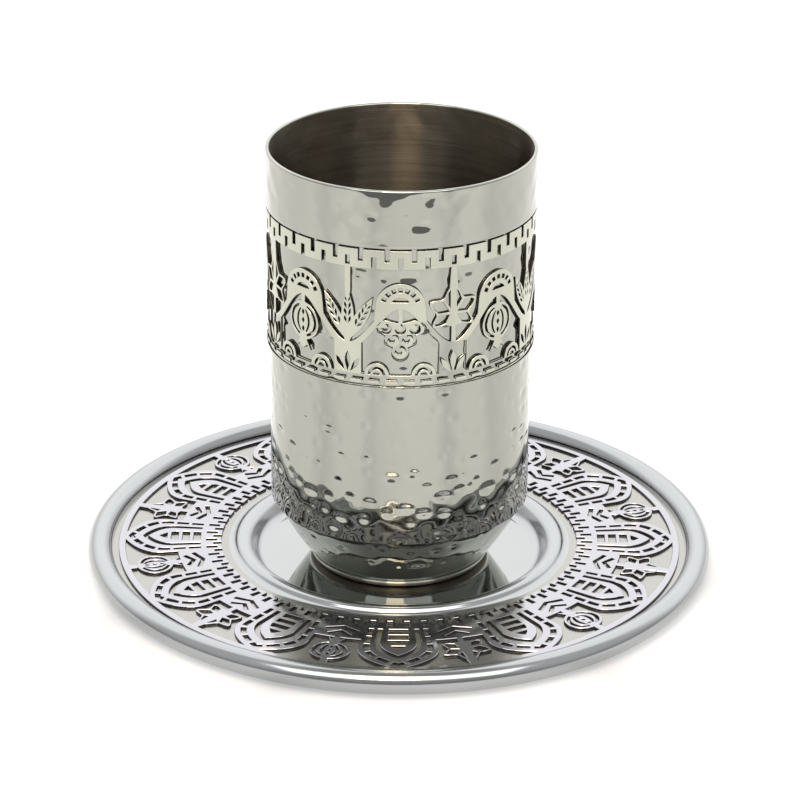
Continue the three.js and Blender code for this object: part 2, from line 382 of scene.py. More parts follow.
@dataclass(frozen=True)
class Wheat:
    """Three ears of wheat that fan out upwards from (0, 0)."""

    length: float = 11.0
    ear: float = 1.3
    grain: Point = (0.5, 1.6)
    pairs: int = 4
    tilt: float = 28.0
    bar: float = 1.2
    skew: float = 1.1
    # Shares of an ear's length: where two ears part, and the points of the outline above that.
    parting: float = 0.51
    middle_side: tuple[float, ...] = (0.9, 0.82, 0.74, 0.66, 0.58)
    inner_side: tuple[float, ...] = (0.6, 0.68, 0.76, 0.84, 0.92)
    # Where the first pair of grains stands and the next ones, how far aside and how they lean.
    first_grain: float = 0.36
    grain_step: float = 0.135
    grain_aside: float = 0.2
    grain_lean: float = 19.0

    def swell(self, share: float) -> float:
        """An ear's half width at a share of its length."""
        return self.ear * math.sin(math.pi * min(share, 1.0) ** self.skew)

    def contour(self, top: float, foot: float) -> Outline:
        """The plant's right side, with a bar over its middle ear and a stalk under it.

        Args:
            top: Height of the bar's top.
            foot: Height of the stalk's foot.

        Returns:
            The points from the top down, round the middle ear and the right one.
        """
        middle = [(self.swell(t), self.length * t) for t in self.middle_side]
        inner = [(-self.swell(t), self.length * t) for t in self.inner_side]
        outer = [(self.swell(t / 20), self.length * t / 20) for t in range(19, 1, -1)]
        valley = moved([(0.0, self.length * self.parting)], 0, 0, -self.tilt / 2)
        side = moved([*inner, (0.0, self.length), *outer], 0, 0, -self.tilt)
        bar = [(self.bar / 2, top), (self.bar / 2, self.length)]
        return [*bar, *middle, *valley, *side, (self.bar * STALK_SHARE, foot)]

    def cuts(self) -> list[Outline]:
        """The cuts in the ears.

        Returns:
            Paired grains up each ear.
        """
        holes = []
        for tilt in (-self.tilt, 0.0, self.tilt):
            for i in range(self.pairs):
                share = self.first_grain + self.grain_step * i
                size = self.swell(share + 0.05) / self.ear
                grain = petal(self.grain[1] * size, self.grain[0] * size)
                for side in (-1, 1):
                    up = self.length * share
                    ear = moved(grain, side * self.grain_aside, up, -side * self.grain_lean)
                    holes.append(moved(ear, 0, 0, tilt))
        return holes


def pieces_of(
    path: Outline, count: int, gap: float, width: float, spacing: float = 0.7
) -> list[Outline]:
    """A line along a path, broken into equal dashes.

    Args:
        path: The line's middle.
        count: Number of dashes.
        gap: Distance between two dashes.
        width: Of the line.
        spacing: The furthest that two points along a dash may be apart.

    Returns:
        One outline for each dash.
    """
    lengths = [0.0]
    for here, there in zip(path, path[1:]):
        lengths.append(lengths[-1] + math.dist(here, there))
    xs, ys = [p[0] for p in path], [p[1] for p in path]
    dash = (lengths[-1] - gap * (count - 1)) / count
    steps = max(2, math.ceil(dash / spacing))
    outlines = []
    for i in range(count):
        at = [i * (dash + gap) + dash * k / steps for k in range(steps + 1)]
        along = list(zip(np.interp(at, lengths, xs).tolist(), np.interp(at, lengths, ys).tolist()))
        outlines.append(stroke(along, width))
    return outlines


# ---- Mesh work ---------------------------------------------------------------------------------
def only(piece: bpy.types.Object) -> None:
    """Selects one object and makes it active, with everything else deselected.

    Args:
        piece: The object.
    """
    for other in bpy.context.view_layer.objects:
        other.select_set(False)
    piece.select_set(True)
    bpy.context.view_layer.objects.active = piece


def turned(name: str, profile: Outline, steps: int) -> bpy.types.Object:
    """Spins a profile of (radius, height) points round the Z axis.

    Args:
        name: The new object's name.
        profile: The section in millimetres. Its ends are on the axis, or it closes on itself.
        steps: Number of steps in the whole turn.

    Returns:
        The turned piece, closed, its faces outwards.
    """
    bpy.ops.object.select_all(action="DESELECT")
    bpy.ops.mesh.primitive_plane_add(size=MM)
    piece = bpy.context.object
    piece.name = piece.data.name = name
    bpy.ops.object.mode_set(mode="EDIT")
    bpy.ops.mesh.select_all(action="SELECT")
    bpy.ops.mesh.merge(type="CENTER")
    bpy.ops.transform.translate(value=(profile[0][0] * MM, 0, profile[0][1] * MM))
    for here, there in zip(profile, profile[1:]):
        step = ((there[0] - here[0]) * MM, 0, (there[1] - here[1]) * MM)
        bpy.ops.mesh.extrude_vertices_move(TRANSFORM_OT_translate={"value": step})
    bpy.ops.mesh.select_all(action="SELECT")
    bpy.ops.mesh.spin(steps=steps, angle=2 * math.pi, center=(0, 0, 0), axis=(0, 0, 1))
    bpy.ops.mesh.select_all(action="SELECT")
    bpy.ops.mesh.remove_doubles(threshold=MERGE)
    bpy.ops.mesh.normals_make_consistent(inside=False)
    bpy.ops.object.mode_set(mode="OBJECT")
    return piece


def sheet(name: str, outlines: list[Outline], thickness: float, edge: float) -> bpy.types.Object:
    """A flat pierced sheet that lies in the XY plane, its middle at z = 0.

    Args:
        name: The new object's name.
        outlines: The border and every hole, in millimetres.
        thickness: Of the sheet.
        edge: Width of the small chamfer along every cut.

    Returns:
        The sheet as a closed mesh, still flat.
    """
    curve = bpy.data.curves.new(name, "CURVE")
    curve.dimensions = "2D"
    curve.fill_mode = "BOTH"
    for outline in outlines:
        spline = curve.splines.new("POLY")
        spline.points.add(len(outline) - 1)
        spline.points.foreach_set("co", [c for x, y in outline for c in (x * MM, y * MM, 0, 1)])
        spline.use_cyclic_u = True
    curve.extrude = (thickness / 2 - edge) * MM
    curve.bevel_depth = edge * MM
    curve.bevel_resolution = 0
    curve.offset = -edge * MM
    piece = bpy.data.objects.new(name, curve)
    bpy.context.collection.objects.link(piece)
    only(piece)
    bpy.ops.object.convert(target="MESH")
    piece = bpy.context.object
    piece.name = piece.data.name = name
    bpy.ops.object.mode_set(mode="EDIT")
    bpy.ops.mesh.select_all(action="SELECT")
    bpy.ops.mesh.remove_doubles(threshold=MERGE)
    bpy.ops.object.mode_set(mode="OBJECT")
    return piece


def coordinates(piece: bpy.types.Object) -> np.ndarray:
    """A mesh's vertices.

    Args:
        piece: The mesh object.

    Returns:
        Their places in millimetres, one row each.
    """
    flat = np.empty(len(piece.data.vertices) * 3)
    piece.data.vertices.foreach_get("co", flat)
    return flat.reshape(-1, 3) / MM


def place(piece: bpy.types.Object, points: np.ndarray) -> None:
    """Writes vertices in millimetres back to a mesh."""
    piece.data.vertices.foreach_set("co", (points * MM).ravel())
    piece.data.update()


def smooth(piece: bpy.types.Object, angle: float) -> None:
    """Shades a piece smooth, with its edges sharper than some degrees left sharp."""
    only(piece)
    bpy.ops.object.shade_smooth_by_angle(angle=math.radians(angle))


@dataclass(frozen=True)
class HammerMarks:
    """Small dents of a ball-faced hammer over a gently uneven wall, in millimetres.

    Some are struck harder than the rest: those are deeper, and wider than they are high.
    """

    spacing: float = 4.3
    radius: float = 1.15
    depth: float = 0.1
    deep_share: float = 0.32
    deep_times: float = 2.2
    deep_width: float = 1.7
    sway: float = 0.016
    sway_length: float = 5.6
    swell: float = 0.045
    swell_length: float = 17.0
    seed: int = 11
    # How far a dent may stray from its place in the rows, and how small or large it may be, as shares.
    stray: float = 0.42
    sizes: Point = (0.7, 1.2)
    # Each wave's share of the sway or swell, and how wave lengths round and up the wall are spread.
    wave_share: float = 0.4
    round_spread: Point = (0.7, 0.12)
    lean_spread: Point = (0.8, 0.17)

    def dents(self, around: np.ndarray, height: np.ndarray, girth: float) -> np.ndarray:
        """How deep the hammer's marks are.

        Args:
            around: Distance round the wall of each point.
            height: Height of each point.
            girth: The wall's whole length round.

        Returns:
            The depth at each point.
        """
        columns = round(girth / self.spacing)
        pitch = girth / columns
        lines = 2 + math.ceil((height.max() - height.min()) / self.spacing)
        chance = np.random.default_rng(self.seed)
        jitter = chance.uniform(-self.stray, self.stray, (lines + 2, columns, 2)) * self.spacing
        size = chance.uniform(*self.sizes, (lines + 2, columns))
        deep = chance.random(size.shape) < self.deep_share
        hard = np.where(deep, self.deep_times, 1.0)
        wide = np.where(deep, self.deep_width, 1.0)
        column = np.floor(around / pitch).astype(int)
        line = np.floor((height - height.min()) / self.spacing).astype(int)
        depth = np.zeros_like(around)
        for dc in (-1, 0, 1):
            for dl in (-1, 0, 1):
                c, n = (column + dc) % columns, np.clip(line + dl + 1, 0, lines + 1)
                x = (column + dc + 0.5 + 0.5 * (n % 2)) * pitch + jitter[n, c, 0]
                y = (n - 0.5) * self.spacing + height.min() + jitter[n, c, 1]
                reach = self.radius * size[n, c]
                away = np.hypot((around - x) / (reach * wide[n, c]), (height - y) / reach)
                dent = self.depth * size[n, c] * hard[n, c] * np.clip(1 - away**2, 0, 1) ** 2
                depth = np.maximum(depth, dent)
        return depth

    def unevenness(self, around: np.ndarray, height: np.ndarray, girth: float) -> np.ndarray:
        """The wall's own gentle waves, short ones over long ones.

        Args:
            around: Distance round the wall of each point.
            height: Height of each point.
            girth: The wall's whole length round.

        Returns:
            The depth at each point, below or above zero.
        """
        chance = np.random.default_rng(self.seed + 1)
        turn = 2 * math.pi * around / girth
        depth = np.zeros_like(around)
        least, more = self.round_spread
        least_lean, more_lean = self.lean_spread
        for reach, length, count in (
            (self.sway * self.wave_share, self.sway_length, 8),
            (self.swell * self.wave_share, self.swell_length, 4),
        ):
            for k in range(1, count + 1):
                waves = round(girth / (length * (least + more * k)))
                lean = 2 * math.pi * height / (length * (least_lean + more_lean * ((k * 5) % 8)))
                phase = chance.uniform(0, 2 * math.pi)
                sign = 1 if k % 2 else -1
                depth = depth + reach * np.sin(turn * waves + sign * lean + phase)
        return depth


# ---- Finishes ------------------------------------------------------------------------------------
def linear(code: str) -> tuple[float, float, float, float]:
    """Turns an sRGB colour to linear.

    Args:
        code: The colour in hex, such as "C0FFEE".

    Returns:
        Linear red, green, blue and an alpha of one.
    """
    parts = [int(code[i : i + 2], 16) / 255 for i in (0, 2, 4)]
    flat = [p / 12.92 if p <= 0.04045 else ((p + 0.055) / 1.055) ** 2.4 for p in parts]
    return (flat[0], flat[1], flat[2], 1.0)


def empty_tree(owner: bpy.types.Material | bpy.types.World) -> bpy.types.NodeTree:
    """Gives a material or the world an empty node tree.

    Args:
        owner: The material or world.

    Returns:
        Its node tree, with nothing in it.
    """
    owner.use_nodes = True
    owner.node_tree.nodes.clear()
    return owner.node_tree


def add_node(
    tree: bpy.types.NodeTree,
    kind: str,
    settings: dict | None = None,
    links: dict | None = None,
    stops: list[Point] | None = None,
) -> bpy.types.Node:
    """Adds a node.

    Args:
        tree: The node tree.
        kind: The node's type.
        settings: Values by input name or number, or by attribute name where no input has it.
        links: Output sockets by input name or number.
        stops: A ramp's pairs of position and grey tone, in order. A tone may be over one.

    Returns:
        The new node.
    """
    node = tree.nodes.new(kind)
    for name, value in (settings or {}).items():
        if isinstance(name, int) or name in node.inputs:
            node.inputs[name].default_value = value
        else:
            setattr(node, name, value)
    for name, socket in (links or {}).items():
        tree.links.new(socket, node.inputs[name])
    while stops and len(node.color_ramp.elements) < len(stops):
        node.color_ramp.elements.new(0.5)
    for number, (position, tone) in enumerate(stops or []):
        point = node.color_ramp.elements[number]
        point.position, point.color = position, (tone, tone, tone, 1.0)
    return node


class Lines(Enum):
    """Which way the polishing lines of a steel run, as how tightly they lie along each axis."""

    ROUND_WALL = (0.02, 0.02, 1.0)
    EVEN = (1.0, 1.0, 1.0)


@dataclass(frozen=True)
class Steel:
    """Stainless steel, 18/8, with the finish that its maker gave it.

    It takes no colour of its own beyond a slight tint, so the tint is mottled at the size of a
    finger mark, and the polish shows as a change of roughness and as fine lines.
    """

    name: str
    tint: str
    shade: str
    roughness: tuple[float, float]
    mottle_mm: float = 14.0
    grain_mm: float = 0.35
    grain_depth_mm: float = 0.004
    lines: Lines = Lines.EVEN
    metallic: float = 1.0
    stretch: float = 0.0

    def build(self) -> bpy.types.Material:
        """Makes the material.

        Returns:
            A new material with this finish.
        """
        material = bpy.data.materials.new(self.name)
        tree = empty_tree(material)
        place_of = add_node(tree, "ShaderNodeTexCoord").outputs["Object"]
        mottle = add_node(
            tree,
            "ShaderNodeTexNoise",
            {"Scale": 1 / (self.mottle_mm * MM), "Detail": 3.0, "Roughness": 0.55},
            {"Vector": place_of},
        )
        tint = add_node(
            tree,
            "ShaderNodeMix",
            {"data_type": "RGBA", 6: linear(self.shade), 7: linear(self.tint)},
            {0: mottle.outputs["Fac"]},
        )
        drawn = add_node(tree, "ShaderNodeMapping", {"Scale": self.lines.value}, {"Vector": place_of})
        grain = add_node(
            tree,
            "ShaderNodeTexNoise",
            {"Scale": 1 / (self.grain_mm * MM), "Detail": 4.0, "Roughness": 0.6},
            {"Vector": drawn.outputs["Vector"]},
        )
        least, most = self.roughness
        polish = add_node(
            tree,
            "ShaderNodeMapRange",
            {"From Min": 0.3, "From Max": 0.7, "To Min": least, "To Max": most},
            {"Value": mottle.outputs["Fac"]},
        )
        bump = add_node(
            tree,
            "ShaderNodeBump",
            {"Strength": 1.0, "Distance": self.grain_depth_mm * MM},
            {"Height": grain.outputs["Fac"]},
        )
        shader = add_node(
            tree,
            "ShaderNodeBsdfPrincipled",
            {"Metallic": self.metallic, "Anisotropic": self.stretch, "Anisotropic Rotation": 0.25},
            {
                "Base Color": tint.outputs[2],
                "Roughness": polish.outputs["Result"],
                "Normal": bump.outputs["Normal"],
            },
        )
        add_node(tree, "ShaderNodeOutputMaterial", {}, {"Surface": shader.outputs["BSDF"]})
        return material


@dataclass(frozen=True)
class Finishes:
    """Every finish of the object."""

    # Hammered steel buffed on a wheel: a mirror with a soft grey-green cast. Real polishing marks are
    # a few hundredths of a millimetre wide, too fine to show, so the grain of this finish and of all
    # the others but the next is drawn at 0.35 mm.
    hammered: Steel = Steel(
        "polished_hammered_steel", "AEAFA7", "A8A9A1", (0.03, 0.06), grain_depth_mm=0.0006
    )
    # The same steel as it leaves the spinning lathe, inside the cup and on the rounding of its foot:
    # fine lines run round it, and it is duller. Its darker, browner tint is painted shade for the dim inside
    # and the foot's contact. The real lines are about 0.1 mm apart, too fine to show, so they are drawn at
    # 1.5 mm, and a stretched sheen stands for the finer ones.
    turned: Steel = Steel(
        "turned_steel_painted_shade",
        "7E7668",
        "746C5F",
        (0.3, 0.36),
        grain_mm=1.5,
        grain_depth_mm=0.1,
        lines=Lines.ROUND_WALL,
        stretch=0.97,
    )
    # Rolled sheet with a satin face: warmer and duller than the wall behind it.
    sleeve: Steel = Steel("satin_warm_steel", "C9CABC", "C0C1B3", (0.2, 0.3), grain_depth_mm=0.003)
    # Spun steel, mirror polished: the well shows the room.
    spun: Steel = Steel("mirror_spun_steel", "AAACAB", "A4A6A5", (0.03, 0.06), grain_depth_mm=0.0004)
    # The bead and the rim of the same saucer, only buffed: their highlights are soft.
    buffed: Steel = Steel("buffed_spun_steel", "ACAEAF", "A6A8A9", (0.12, 0.18), grain_depth_mm=0.001)
    # The brim under the ring, left as it was spun: dull, and a little darker as painted shade under the
    # ring.
    brim_with_painted_shade: Steel = Steel("satin_spun_steel_painted_shade", "A9A8A3", "A09F9A", (0.2, 0.28), grain_depth_mm=0.003)
    # Rolled sheet with a fine satin face, cooler and smoother than the sleeve.
    ring: Steel = Steel("satin_cool_steel", "B2B1B6", "ABAAAF", (0.06, 0.11), grain_depth_mm=0.003)
    # The cut edge of sheet steel: oxidised dark brown by the heat of the cut, and dull.
    cut: Steel = Steel("oxidised_cut_edge", "3A332C", "26221F", (0.42, 0.6), mottle_mm=3.0, metallic=0.6)


# ---- The pieces ----------------------------------------------------------------------------------
@dataclass
class Saucer:
    """The spun saucer: well, bead, brim and rolled rim, from one sheet."""

    mirror: Steel
    buffed: Steel
    satin: Steel
    sheet_mm: float = 1.0
    well: float = 28.2
    crest: float = 32.9
    bead_outer: float = 35.9
    bead_top: float = 4.5
    brim_top: float = 3.3
    rim_tube: float = 2.5
    rim_centre: float = 3.35
    # Angles on the rim's tube: where its inner skin starts, where it is rolled shut, and where it ends.
    rim_turns: tuple[float, float, float] = (160.0, -100.0, 168.0)
    # The bead's bends as (inwards or outwards, down) from the crest, and the heel's inwards from the
    # shoulder. The pulls are where its curves' control points stand.
    bead_fall: Point = (1.3, 0.62)
    bead_shoulder: Point = (2.15, 1.0)
    bead_heel: Point = (0.65, 2.2)
    toe: float = 0.2
    fall_pulls: Point = (0.33, 0.95)
    shoulder_pull: Point = (0.5, 0.02)
    heel_pull: float = 0.5
    # The hollow under the bead, inwards from the crest and up, and the bends beside it.
    foot_edge: float = 0.8
    foot_rise: Point = (1.1, 0.1)
    hollow_pull: Point = (2.4, 0.4)
    hollow_top: Point = (1.4, 0.2)
    hollow_end: float = 0.6
    tuck: float = 0.3
    brim_gap: float = 0.05
    # The mirror polish runs this far up from the well.
    well_polish: float = 0.4
    steps: int = 320
    radius: float = field(init=False)

    def __post_init__(self) -> None:
        """Takes the saucer's reach from the frame."""
        _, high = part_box("saucer")
        self.radius = high[0] / MM

    @property
    def crease(self) -> float:
        """The radius at which the brim meets the rolled rim."""
        return self.radius - 2 * self.rim_tube

    def bead(self) -> Outline:
        """The bead's upper side.

        Returns:
            The points from the brim over its crest down to the well.
        """
        top = self.bead_top
        crest, inner = (self.crest, top), self.crest - self.bead_shoulder[0]
        fall = (self.crest + self.bead_fall[0], top - self.bead_fall[1])
        shoulder = (inner, top - self.bead_shoulder[1])
        heel = (inner - self.bead_heel[0], top - self.bead_heel[1])
        low, high = self.fall_pulls
        aside, down = self.shoulder_pull
        return [
            *bezier((self.bead_outer + self.toe, self.brim_top), (fall[0] + low, self.brim_top), fall, 8),
            *bezier(fall, (self.crest + high, top), crest, 8)[1:],
            *bezier(crest, (inner + aside, top - down), shoulder, 12)[1:],
            *bezier(heel, (heel[0] - self.heel_pull, self.sheet_mm), (self.well, self.sheet_mm), 8),
        ]

    def underside(self) -> Outline:
        """The lower side.

        Returns:
            The points from the middle of the foot out to the rim.
        """
        under = self.brim_top - self.sheet_mm
        rise = (self.well + self.foot_rise[0], self.foot_rise[1])
        pull = (self.crest - self.hollow_pull[0], self.hollow_pull[1])
        hollow = (self.crest - self.hollow_top[0], under + self.hollow_top[1])
        end = (self.bead_outer - self.hollow_end, under)
        return [
            (0.0, 0.0),
            (self.well + self.foot_edge, 0.0),
            *bezier(rise, pull, hollow, 6),
            *bezier(hollow, (self.crest, self.bead_top), end, 8)[1:],
            (self.crease - self.tuck, under),
        ]

    def profile(self) -> Outline:
        """The saucer's section.

        Returns:
            The points from the middle of the underside round the rim to the middle of the well.
        """
        centre = (self.radius - self.rim_tube, self.rim_centre)
        start, shut, end = self.rim_turns
        rim = [
            *arc(centre, self.rim_tube - self.sheet_mm, start, shut, 18),
            *arc(centre, self.rim_tube, shut, end, 40),
        ]
        floor = rows((self.well, self.sheet_mm), (0.0, self.sheet_mm), 4.0)[1:]
        return [*self.underside(), *rim, (self.crease + self.brim_gap, self.brim_top), *self.bead(), *floor]

    def build(self) -> bpy.types.Object:
        """Turns and dresses the saucer: mirror well, buffed bead and rim, and a satin brim with painted
        shade.

        Returns:
            The finished saucer.
        """
        piece = turned("saucer_spun", self.profile(), self.steps)
        smooth(piece, 38)
        for finish in (self.mirror, self.buffed, self.satin):
            piece.data.materials.append(finish.build())
        for face in piece.data.polygons:
            reach = math.hypot(face.center.x, face.center.y) / MM
            # The brim under the ring takes the satin steel, darker as painted shade.
            brim_with_painted_shade = face.normal.z > 0.95 and self.bead_outer < reach < self.crease
            face.material_index = 2 if brim_with_painted_shade else 1 if reach > self.well + self.well_polish else 0
        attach(piece, "root")
        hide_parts("saucer")
        return piece


@dataclass
class CupBody:
    """The hollow hammered cup: foot, tapered bowl, step, straight wall, collar and lip."""

    finish: Steel
    bore: Steel
    wall: float = 0.8
    wall_radius: float = 26.65
    step_height: float = 15.0
    step_inset: float = 1.0
    foot_radius: float = 18.6
    foot_round: float = 1.6
    floor_mm: float = 1.0
    row: float = 0.45
    steps: int = 360
    hammer: HammerMarks = HammerMarks()
    # The marks on the collar against those on the wall: shallower dents over stronger waves.
    collar_share: float = 0.35
    collar_sway: float = 1.8
    # Where the controls of the bowl's and the bore's curves stand: in from the wall, up from the foot.
    bowl_pull: Point = (2.0, 8.6)
    bore_pull: Point = (1.6, 9.0)
    # The undercut and the edge of the step, and the collar's lower edge.
    undercut: Point = (0.45, 0.1)
    edge: float = 0.12
    collar_edge: tuple[float, float, float] = (0.1, 0.05, 0.2)
    # The bore's bends: under the collar, over the bowl, and in from the foot.
    bore_bends: tuple[float, float, float] = (1.0, 2.0, 1.4)
    # The marks keep this far from the step, the shoulder and the lip, and fade in over the next bit.
    clear: float = 0.25
    fade: float = 1.2
    skin_depth: float = 0.5
    skin_bend: float = 0.8
    # The foot is left plain up to the first of these, and the marks fade in from the second.
    foot_plain: Point = (0.4, 0.8)
    # The part of the foot's rounding, as a share, that takes the duller turned steel with its painted
    # shade, and the polish inside the lip.
    rounding_share: float = 0.75
    lip_polish: float = 0.3
    collar_gap: float = 0.3
    foot: float = field(init=False)
    lip: float = field(init=False)
    collar_radius: float = field(init=False)
    shoulder: float = field(init=False)

    def __post_init__(self) -> None:
        """Takes the foot, the lip and the collar from the frame, and the shoulder from the sleeve."""
        low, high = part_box("cup_body")
        self.foot, self.lip, self.collar_radius = low[2] / MM, high[2] / MM, high[0] / MM
        self.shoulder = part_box("cup_band")[1][2] / MM + self.collar_gap

    def outside(self) -> Outline:
        """The section's outer side.

        Returns:
            The points from the middle of the foot up over the lip.
        """
        bowl_top = self.wall_radius - self.step_inset
        bend = (self.foot_radius - self.foot_round, self.foot + self.foot_round)
        bowl = bezier(
            (self.foot_radius, self.foot + self.foot_round),
            (bowl_top - self.bowl_pull[0], self.foot + self.bowl_pull[1]),
            (bowl_top, self.step_height - self.undercut[0]),
            28,
        )
        step = [
            (self.wall_radius - self.edge * 2, self.step_height - self.undercut[1]),
            (self.wall_radius, self.step_height + self.edge),
        ]
        inwards, low, high = self.collar_edge
        shoulder = [
            (self.collar_radius - inwards, self.shoulder + low),
            (self.collar_radius, self.shoulder + high),
        ]
        lip = self.wall / 2
        return [
            (0.0, self.foot),
            *arc(bend, self.foot_round, -90, -12, 7),
            *bowl,
            *step,
            *rows(step[-1], (self.wall_radius, self.shoulder), self.row)[1:],
            *shoulder,
            *rows(shoulder[-1], (self.collar_radius, self.lip - lip), self.row)[1:],
            *arc((self.collar_radius - lip, self.lip - lip), lip, 0, 180, 10)[1:],
        ]

    def inside(self) -> Outline:
        """The section's inner side.

        Returns:
            The points from the lip down to the middle of the floor.
        """
        under_collar, over_bowl, in_foot = self.bore_bends
        inner = self.wall_radius - self.wall
        top = (self.collar_radius - self.wall, self.lip - self.wall)
        high, low = (inner, self.shoulder - under_collar), (inner, self.step_height + over_bowl)
        floor = self.foot + self.floor_mm
        pull = (inner - self.bore_pull[0], self.foot + self.bore_pull[1])
        return [
            *rows(top, high, 1.2),
            *rows(high, low, 2.5)[1:],
            *bezier(low, pull, (self.foot_radius - in_foot, floor), 12)[1:],
            (0.0, floor),
        ]

    def strike(self, piece: bpy.types.Object) -> None:
        """Presses the hammer's marks into the outside, fading out at the foot, step and lip.

        Args:
            piece: The turned cup.
        """
        points = coordinates(piece)
        radius = np.hypot(points[:, 0], points[:, 1])
        height = points[:, 2]
        slope = np.clip((height - self.foot) / (self.step_height - self.foot), 0, 1)
        plain, marked = self.foot_plain
        spread = self.wall_radius - self.step_inset - self.foot_radius
        skin = self.foot_radius + spread * slope**self.skin_bend
        outside = (radius > skin - self.skin_depth) & (height > self.foot + plain)
        outside &= (height < self.lip - self.skin_depth)
        outside &= (height < self.step_height) | (radius > self.wall_radius - self.skin_depth)
        edges = np.array([self.foot + marked, self.step_height, self.shoulder, self.lip])
        nearest = np.abs(height[:, None] - edges[None, :]).min(axis=1)
        fade = np.clip((nearest - self.clear) / self.fade, 0, 1) * outside
        angle = np.arctan2(points[:, 1], points[:, 0]) + math.pi
        girth = 2 * math.pi * self.wall_radius
        collar = height > self.shoulder
        struck = np.where(collar, self.collar_share, 1.0)
        swayed = np.where(collar, self.collar_sway, 1.0)
        sunk = self.hammer.dents(angle * self.wall_radius, height, girth) * struck
        waves = self.hammer.unevenness(angle * self.wall_radius, height, girth) * swayed
        sunk = (sunk + waves) * fade
        shrink = 1 - sunk / np.maximum(radius, 1.0)
        points[:, 0] *= shrink
        points[:, 1] *= shrink
        place(piece, points)

    def build(self) -> bpy.types.Object:
        """Turns, hammers and dresses the cup.

        Returns:
            The finished cup.
        """
        piece = turned("cup_hammered", [*self.outside(), *self.inside()], self.steps)
        self.strike(piece)
        smooth(piece, 40)
        piece.data.materials.append(self.finish.build())
        piece.data.materials.append(self.bore.build())
        for face in piece.data.polygons:
            middle = face.center
            inwards = -(face.normal.x * middle.x + face.normal.y * middle.y)
            inner_floor = face.normal.z > 0.9 and middle.z < self.step_height * MM
            hollow = inwards > 0.4 * math.hypot(middle.x, middle.y) or inner_floor
            # The inside and the foot's rounding take the turned steel: duller, and painted darker and
            # browner as shade.
            rounding = middle.z < (self.foot + self.foot_round * self.rounding_share) * MM
            dull_with_painted_shade = rounding or (hollow and middle.z < (self.lip - self.lip_polish) * MM)
            face.material_index = 1 if dull_with_painted_shade else 0
        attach(piece, "root")
        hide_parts("cup_body")
        return piece


